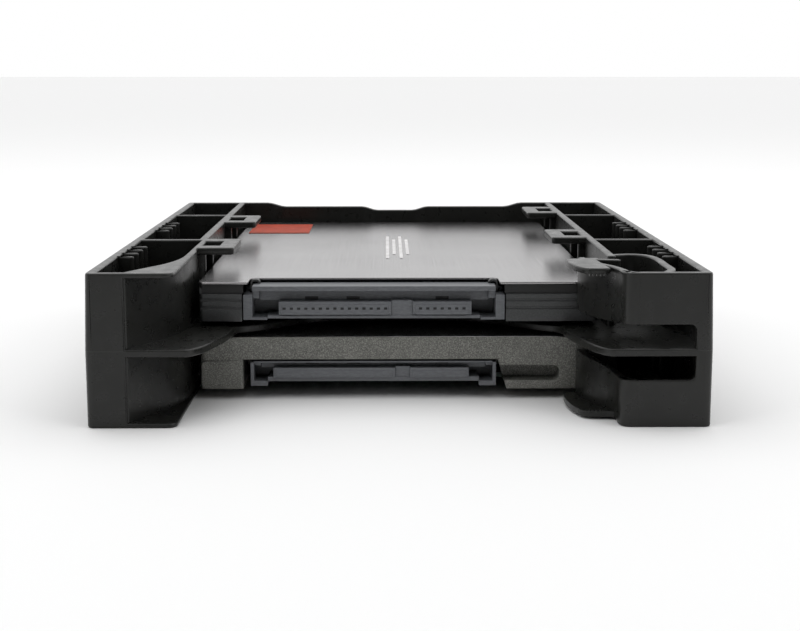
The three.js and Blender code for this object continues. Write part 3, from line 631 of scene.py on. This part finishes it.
def latch_piece(name, node, body, heights_at, tab_outline, tab_heights, teeth):
    """A springy arm that grows out of the corner plate, with its catch, its stop and its finger tab."""
    solids = Solids()
    rings = []
    for (x, y), (across_x, across_y), width in arm_stations():
        low, high = heights_at(y)
        half = width / 2
        outer = (x - across_x * half, y - across_y * half)
        inner = (x + across_x * half, y + across_y * half)
        rings.append([(*outer, low), (*inner, low), (*inner, high), (*outer, high)])
    root = solids.loft(rings)[0]
    root_edges = [e for e in solids.shape.edges if all(v in root for v in e.verts)]
    low, high = heights_at(CATCH["ys"][1])
    solids.block(CATCH["xs"], CATCH["ys"], (low + 0.1, high - 0.1))
    (x0, y0), (x1, y1), radius = STOP["start"], STOP["end"], STOP["radius"]
    stop = [(x0, y0 - radius), *arc((x1, y1), radius, -90, 90, 8), (x0, y0 + radius)]
    solids.prism(stop, (low + 0.3, high - 0.02))
    solids.prism(tab_outline, tab_heights)
    round_edges(solids.shape, LATCH_ROUND, 2, root_edges)
    for i in range(teeth["count"]):
        x = teeth["x"] + i * teeth["pitch"]
        solids.block((x, x + teeth["pitch"] * 0.5), teeth["ys"], teeth["zs"])
    middle = (low + high) / 2
    bend = ("bracket", body, place(*BEND_START, middle), place(*BEND_END, middle))
    make_piece(name, solids.shape, bend, "black_moulding", replaces=[node])


def latches():
    latch_piece(
        "upper_latch_arm_skin",
        "upper_latch",
        "upper_latch_arm",
        lambda y: (16.9 - 0.8 * ramp(y, 1.5, 10), ARM_TOP),
        smooth_through(UPPER_TAB, TAB_STEPS),
        (HEIGHT - 1, HEIGHT - 0.01),
        UPPER_TEETH,
    )
    latch_piece(
        "lower_latch_arm_skin",
        "lower_latch",
        "lower_latch_arm",
        lambda y: (0.02 + 0.43 * ramp(y, 2.5, 4.5), 7.8 + 1.5 * ramp(y, 3, 18)),
        smooth_through(LOWER_TAB, TAB_STEPS),
        (0.46, 1.4),
        LOWER_TEETH,
    )


# ---------------------------------------------------------------- sockets
CONTACT_PITCH = 1.27
SSD_SOCKET = {
    "name": "ssd_socket_housing",
    "node": "ssd_sata_socket",
    "body": "upper_drive",
    "xs": (-27.2, 18.6),
    "tongues": [(-21, -1.3, 15), (2.5, 12.8, 7)],
    "foot": (14.2, 14.65),
    "strip": (14.4, 14.95),
    "tongue": (15.1, 17.4),
    "cavity": (17.4, 19.4),
    "ear_top": 18.6,
    "bar": (19.3, 20.15),
    "ear_wall": 1.6,
    "foot_length": 4.2,
    "notches": (17.5, 18.05),
    "contact_z": 16.2,
}
HDD_SOCKET = {
    "name": "hdd_socket_housing",
    "node": "hdd_sata_socket",
    "body": "lower_drive",
    "xs": (-26.1, 17.2),
    "tongues": [(-22.1, -0.6, 15), (2, 12.4, 7)],
    "foot": (2.4, 3.25),
    "strip": (3.15, 3.95),
    "tongue": (3.9, 5.6),
    "cavity": (5.3, 6.75),
    "ear_top": 6.6,
    "bar": (6.55, 6.8),
    "ear_wall": 0.6,
    "foot_length": 3,
    "notches": (5.95, 6.6),
    "contact_z": None,
}
NOTCH_XS = [-15.3, -8, 7.7]
NOTCH_WIDTH = 2.3
SOCKET_BACK = 3
SOCKET_INSIDE = 2.9
EAR_LIP = 1.2
BAR_DEPTH = 5
TONGUE_NOSE = 0.45
CONTACT_HALF = 0.4
OPENING_HALF = 0.28


def socket_pieces(plan):
    """A drive's socket: its housing, near-black patches painted as the shade inside its notches and contact
    openings, and the contacts on its two tongues.
    """
    front, back = span(plan["node"])[1]
    left, right = plan["xs"]
    name, body = plan["name"], plan["body"]
    wall, foot = plan["ear_wall"], plan["foot_length"]
    foot_low = plan["foot"][0]
    tongue_low, tongue_top = plan["tongue"]
    ear_top, strip_top, bar_top = plan["ear_top"], plan["strip"][1], plan["bar"][1]
    inside = back - SOCKET_INSIDE
    first, second = plan["tongues"]
    housing = Solids()
    housing.block((left, right), (back - SOCKET_BACK, back), (foot_low, plan["cavity"][1]))
    for near, far, toe in ((left, left + wall, left + foot), (right, right - wall, right - foot)):
        housing.block(sorted((near, far)), (front, inside), (foot_low + 0.02, ear_top))
        housing.block(sorted((near, toe)), (front + 0.05, inside), plan["foot"])
        inner = far + math.copysign(EAR_LIP, toe - far)
        housing.block(sorted((far, inner)), (front + 0.9, inside), (ear_top - 0.7, bar_top - 0.02))
    housing.block((left + wall, right - wall), (front, front + BAR_DEPTH), plan["bar"])
    housing.block((left + foot, right - foot), (front + 0.4, inside), plan["strip"])
    housing.block((left + wall + EAR_LIP, right - wall - EAR_LIP), (front + 2.2, inside), plan["cavity"])
    for start, end, _ in (first, second):
        nose = (start + TONGUE_NOSE, end - TONGUE_NOSE)
        housing.block((start, end), (front + 0.1, inside), plan["tongue"])
        housing.block(nose, (front + 0.02, front + 0.2), (tongue_low, tongue_top - 0.5))
    housing.block((first[1], second[0]), (front + 0.55, inside), (strip_top - 0.1, tongue_top + 0.2))
    housing.finish(name, body, "socket_plastic", replaces=[plan["node"]], width_mm=0.07)

    # Near-black patches painted on the notches and contact openings as the shade inside them.
    painted_openings = Solids()
    for x in NOTCH_XS:
        xs = (x - NOTCH_WIDTH / 2, x + NOTCH_WIDTH / 2)
        painted_openings.block(xs, (front + 2.15, front + 2.3), plan["notches"])
    contacts = Solids()
    for start, end, count in (first, second):
        first_x = (start + end) / 2 - CONTACT_PITCH * (count - 1) / 2
        for i in range(count):
            x = first_x + i * CONTACT_PITCH
            xs = (x - CONTACT_HALF, x + CONTACT_HALF)
            contacts.block(xs, (front + 0.5, back - 3.2), (tongue_low - 0.06, tongue_low + 0.1))
            if plan["contact_z"]:
                xs = (x - OPENING_HALF, x + OPENING_HALF)
                heights = (plan["contact_z"] - 0.2, plan["contact_z"] + 0.2)
                painted_openings.block(xs, (front - 0.02, front + 0.2), heights)
    painted_openings.finish(name + "_painted_shade_patches", body, "socket_plastic", "opening_shade_black", width_mm=0.03)
    contacts.finish(name + "_contacts", body, "socket_plastic", "contact_metal", width_mm=0.03)


# ---------------------------------------------------------------- solid state drive
LID_SHEET = 0.45
LID_CUTOUT = {"xs": (-26.3, 17.7), "back": 26.3, "radius": 1.2}
LID_EARS = [(-26.2, -24.4), (15.9, 17.65)]
LID_EAR = {"ys": (24.4, 26.4), "bottom": 18.4, "radius": 0.75, "wall": 0.4}
MARK = {"xs": (-2.2, 2.5), "ys": (53, 90), "bars": 4, "raise": 0.12}


def ssd_lid():
    """A thin lid with a cut-out over the socket, a curled ear at each end of it and a row of raised bars, in
    a lighter metal painted as their highlight.
    """
    (x0, x1), (y0, y1), (_, top) = span("ssd_lid")
    bottom = top - LID_SHEET
    cut_left, cut_right = LID_CUTOUT["xs"]
    back, radius = LID_CUTOUT["back"], LID_CUTOUT["radius"]
    corner = 0.8
    outline = [
        *arc((x0 + corner, y0 + corner), corner, 180, 270, 5),
        *arc((cut_left - 0.4, y0 + 0.4), 0.4, 270, 360, 4),
        *arc((cut_left + radius, back - radius), radius, 180, 90, 6),
        *arc((cut_right - radius, back - radius), radius, 90, 0, 6),
        *arc((cut_right + 0.4, y0 + 0.4), 0.4, 180, 270, 4),
        *arc((x1 - corner, y0 + corner), corner, 270, 360, 5),
        *arc((x1 - corner, y1 - corner), corner, 0, 90, 5),
        *arc((x0 + corner, y1 - corner), corner, 90, 180, 5),
    ]
    lid = Solids()
    lid.prism(outline, (bottom, top))
    round_edges(lid.shape, 0.14, 3)
    make_piece("ssd_lid_sheet", lid.shape, "upper_drive", "ssd_lid_metal", replaces=["ssd_lid"])

    # The raised bars take a lighter copy of the lid's metal, as painted highlight.
    bars = Solids()
    bar = (MARK["xs"][1] - MARK["xs"][0]) / (2 * MARK["bars"] - 1)
    for i in range(MARK["bars"]):
        x = MARK["xs"][0] + 2 * i * bar
        inset = 6 * (i % 2)
        ys = (MARK["ys"][0] + inset, MARK["ys"][1] - inset)
        bars.prism(rounded_rectangle((x, x + bar), ys, bar * 0.48), (top - 0.1, top + MARK["raise"]))
    bars.finish("ssd_lid_bars", "upper_drive", "ssd_lid_metal", "bar_highlight_metal", width_mm=0.04)

    ears = Solids()
    for left, right, foot in ((*LID_EARS[0], -1), (*LID_EARS[1], 1)):
        radius, wall = LID_EAR["radius"], LID_EAR["wall"]
        low = LID_EAR["bottom"]
        outer = [(left, low), *arc((left + radius, top - radius), radius, 180, 90, 6)]
        outer += [*arc((right - radius, top - radius), radius, 90, 0, 6), (right, low)]
        inside = radius - wall
        inner = [(right - wall, low), *arc((right - radius, top - radius), inside, 0, 90, 6)]
        inner += [*arc((left + radius, top - radius), inside, 90, 180, 6), (left + wall, low)]
        ears.prism_along_y(outer + inner, LID_EAR["ys"])
        side = left if foot < 0 else right
        ears.block(sorted((side, side + foot * 0.5)), LID_EAR["ys"], (low + 0.02, low + 0.3))
    ears.finish("ssd_lid_ears", "upper_drive", "ssd_lid_metal", "ssd_tray_metal", width_mm=0.08)


def ssd_shade_band():
    """A near-black band under the lid's edge at the front, sides and back, painted as the shade of the recess
    between the lid and the tray.
    """
    (x0, x1), (y0, y1), (low, _) = span("ssd_lid")
    top = span("ssd_lid")[2][1] - LID_SHEET - 0.02
    inset = 0.45
    band = Solids()
    cut_left, cut_right = LID_CUTOUT["xs"]
    bottom = 18.85
    band.block((x0 + inset, cut_left - 0.9), (y0 + inset, y0 + inset + 0.8), (bottom, top))
    band.block((cut_right + 0.9, x1 - inset), (y0 + inset, y0 + inset + 0.8), (bottom, top))
    band.block((x0 + 0.12, x0 + 0.9), (y0 + 1, y1 - 1), (low - 0.05, top))
    band.block((x1 - 0.9, x1 - 0.12), (y0 + 1, y1 - 1), (low - 0.05, top))
    band.block((x0 + 1, x1 - 1), (y1 - 0.9, y1 - 0.12), (low - 0.05, top))
    band.finish("ssd_under_lid_shade", "upper_drive", "ssd_tray_metal", "lid_edge_shade_black", width_mm=0.06)


# ---------------------------------------------------------------- hard disk
HDD_STEP = {"xs": (-34.7, -27.6), "zs": (1.95, 6.95), "proud": 0.3}
HDD_LOW_CORNER = {"beyond": 33, "radius": 1}
MOTOR_RINGS = [(12.5, 11.6), (5.2, 4.2)]
SPINDLE_Y = 86.2


def runs_along_y(edge, beyond, height):
    """Whether an edge runs front to back at a height, further than beyond from the middle."""
    first, second = (v.co / MM for v in edge.verts)
    level = abs(first.z - height) < 0.01 and abs(second.z - height) < 0.01
    straight = abs(first.x - second.x) < 0.01 and abs(first.y - second.y) > 1
    return level and straight and abs(first.x) > beyond


def hdd_casting():
    """The cast base with the proud block beside its socket and the rings round its motor."""
    shape = node_shape("hdd_base")
    front = span("hdd_base")[1][0]
    bottom = span("hdd_base")[2][0]
    low_edges = [e for e in shape.edges if runs_along_y(e, HDD_LOW_CORNER["beyond"], bottom)]
    bmesh.ops.bevel(
        shape,
        geom=low_edges,
        offset=HDD_LOW_CORNER["radius"] * MM,
        segments=4,
        affect="EDGES",
        profile=0.5,
        clamp_overlap=False,
    )
    round_edges(shape, 0.2, 2)
    step = Solids()
    xs, zs = HDD_STEP["xs"], HDD_STEP["zs"]
    step.prism_along_y(rounded_rectangle(xs, zs, 0.9), (front - HDD_STEP["proud"], front + 0.4))
    step.finish("hdd_front_block", "lower_drive", "cast_body", width_mm=0.12, segments=3)
    make_piece("hdd_casting", shape, "lower_drive", "cast_body", replaces=["hdd_base"])
    rings = Solids()
    for outer, inner in MOTOR_RINGS:
        ring_between(rings, (0, SPINDLE_Y), outer, inner, (bottom - 0.12, bottom + 0.1))
    rings.finish("hdd_motor_rings", "lower_drive", "cast_body", width_mm=0.04)


def ring_between(solids, centre, outer, inner, heights, steps=64):
    """A flat ring, as one closed skin that meets itself."""
    x, y = centre
    low, high = heights
    section = [(outer, low), (outer, high), (inner, high), (inner, low)]
    rows = []
    for i in range(steps):
        angle = 2 * math.pi * i / steps
        rows.append(
            [
                solids.shape.verts.new(place(x + r * math.cos(angle), y + r * math.sin(angle), z))
                for r, z in section
            ]
        )
    for i, row in enumerate(rows):
        following = rows[(i + 1) % steps]
        for j in range(4):
            k = (j + 1) % 4
            solids.shape.faces.new((row[j], row[k], following[k], following[j]))


# ---------------------------------------------------------------- screws
def lobed_circle(centre, radius, z, lobes=0.0, steps=36):
    points = []
    for i in range(steps):
        angle = 2 * math.pi * i / steps
        reach = radius * (1 + lobes * math.cos(6 * angle))
        points.append((centre[0] + reach * math.cos(angle), centre[1] + reach * math.sin(angle), z))
    return points


def screw_piece(node, body, head_below, shank_radius):
    """A screw with a six-lobed recess, in the place and at the size of its CAD node."""
    (x0, x1), (y0, y1), (low, high) = span(node)
    centre = ((x0 + x1) / 2, (y0 + y1) / 2)
    head_radius = (x1 - x0) / 2
    face, tip = (low, high) if head_below else (high, low)
    inward = 1 if head_below else -1
    thickness = min(0.7, abs(high - low) * 0.2)
    recess = head_radius * 0.5
    chamfer = head_radius * 0.12
    screw = Solids()
    screw.loft(
        [
            lobed_circle(centre, shank_radius * 0.6, tip),
            lobed_circle(centre, shank_radius, tip - inward * 0.4),
            lobed_circle(centre, shank_radius, face + inward * thickness),
            lobed_circle(centre, head_radius, face + inward * thickness),
            lobed_circle(centre, head_radius, face + inward * chamfer),
            lobed_circle(centre, head_radius - chamfer, face),
            lobed_circle(centre, recess * 1.08, face, 0.12),
            lobed_circle(centre, recess, face + inward * chamfer * 0.5, 0.12),
            lobed_circle(centre, recess * 0.95, face + inward * thickness * 0.7, 0.12),
        ]
    )
    screw.finish(node + "_detail", body, "screws", replaces=[node])


def screws():
    for node in NODES:
        if node.startswith("ssd_screw"):
            screw_piece(node, "upper_drive", True, 0.75)
        elif node.startswith("hdd_board_screw"):
            screw_piece(node, "lower_drive", True, 0.6)
        elif node.startswith("hdd_cover_screw"):
            screw_piece(node, "lower_drive", False, 0.7)


# ---------------------------------------------------------------- assembly
def dress_nodes():
    """Every CAD node gets its own finish."""
    slot_of = {row["node"]: row["material_slot"] for row in frame["record"]["subparts"]}
    for node, shown in NODES.items():
        shown.data.materials.clear()
        shown.data.materials.append(MATERIALS[slot_of[node]])


make_camera()
make_floor()
make_dark_card()
make_lights()
MATERIALS = make_materials()
dress_nodes()
bracket_shell()
latches()
socket_pieces(SSD_SOCKET)
socket_pieces(HDD_SOCKET)
ssd_lid()
ssd_shade_band()
rounded_copy("ssd_tray", "ssd_tray_shell", "upper_drive", "ssd_tray_metal", 0.1)
hdd_casting()
rounded_copy("hdd_cover", "hdd_cover_sheet", "lower_drive", "hdd_cover_metal", 0.1)
screws()
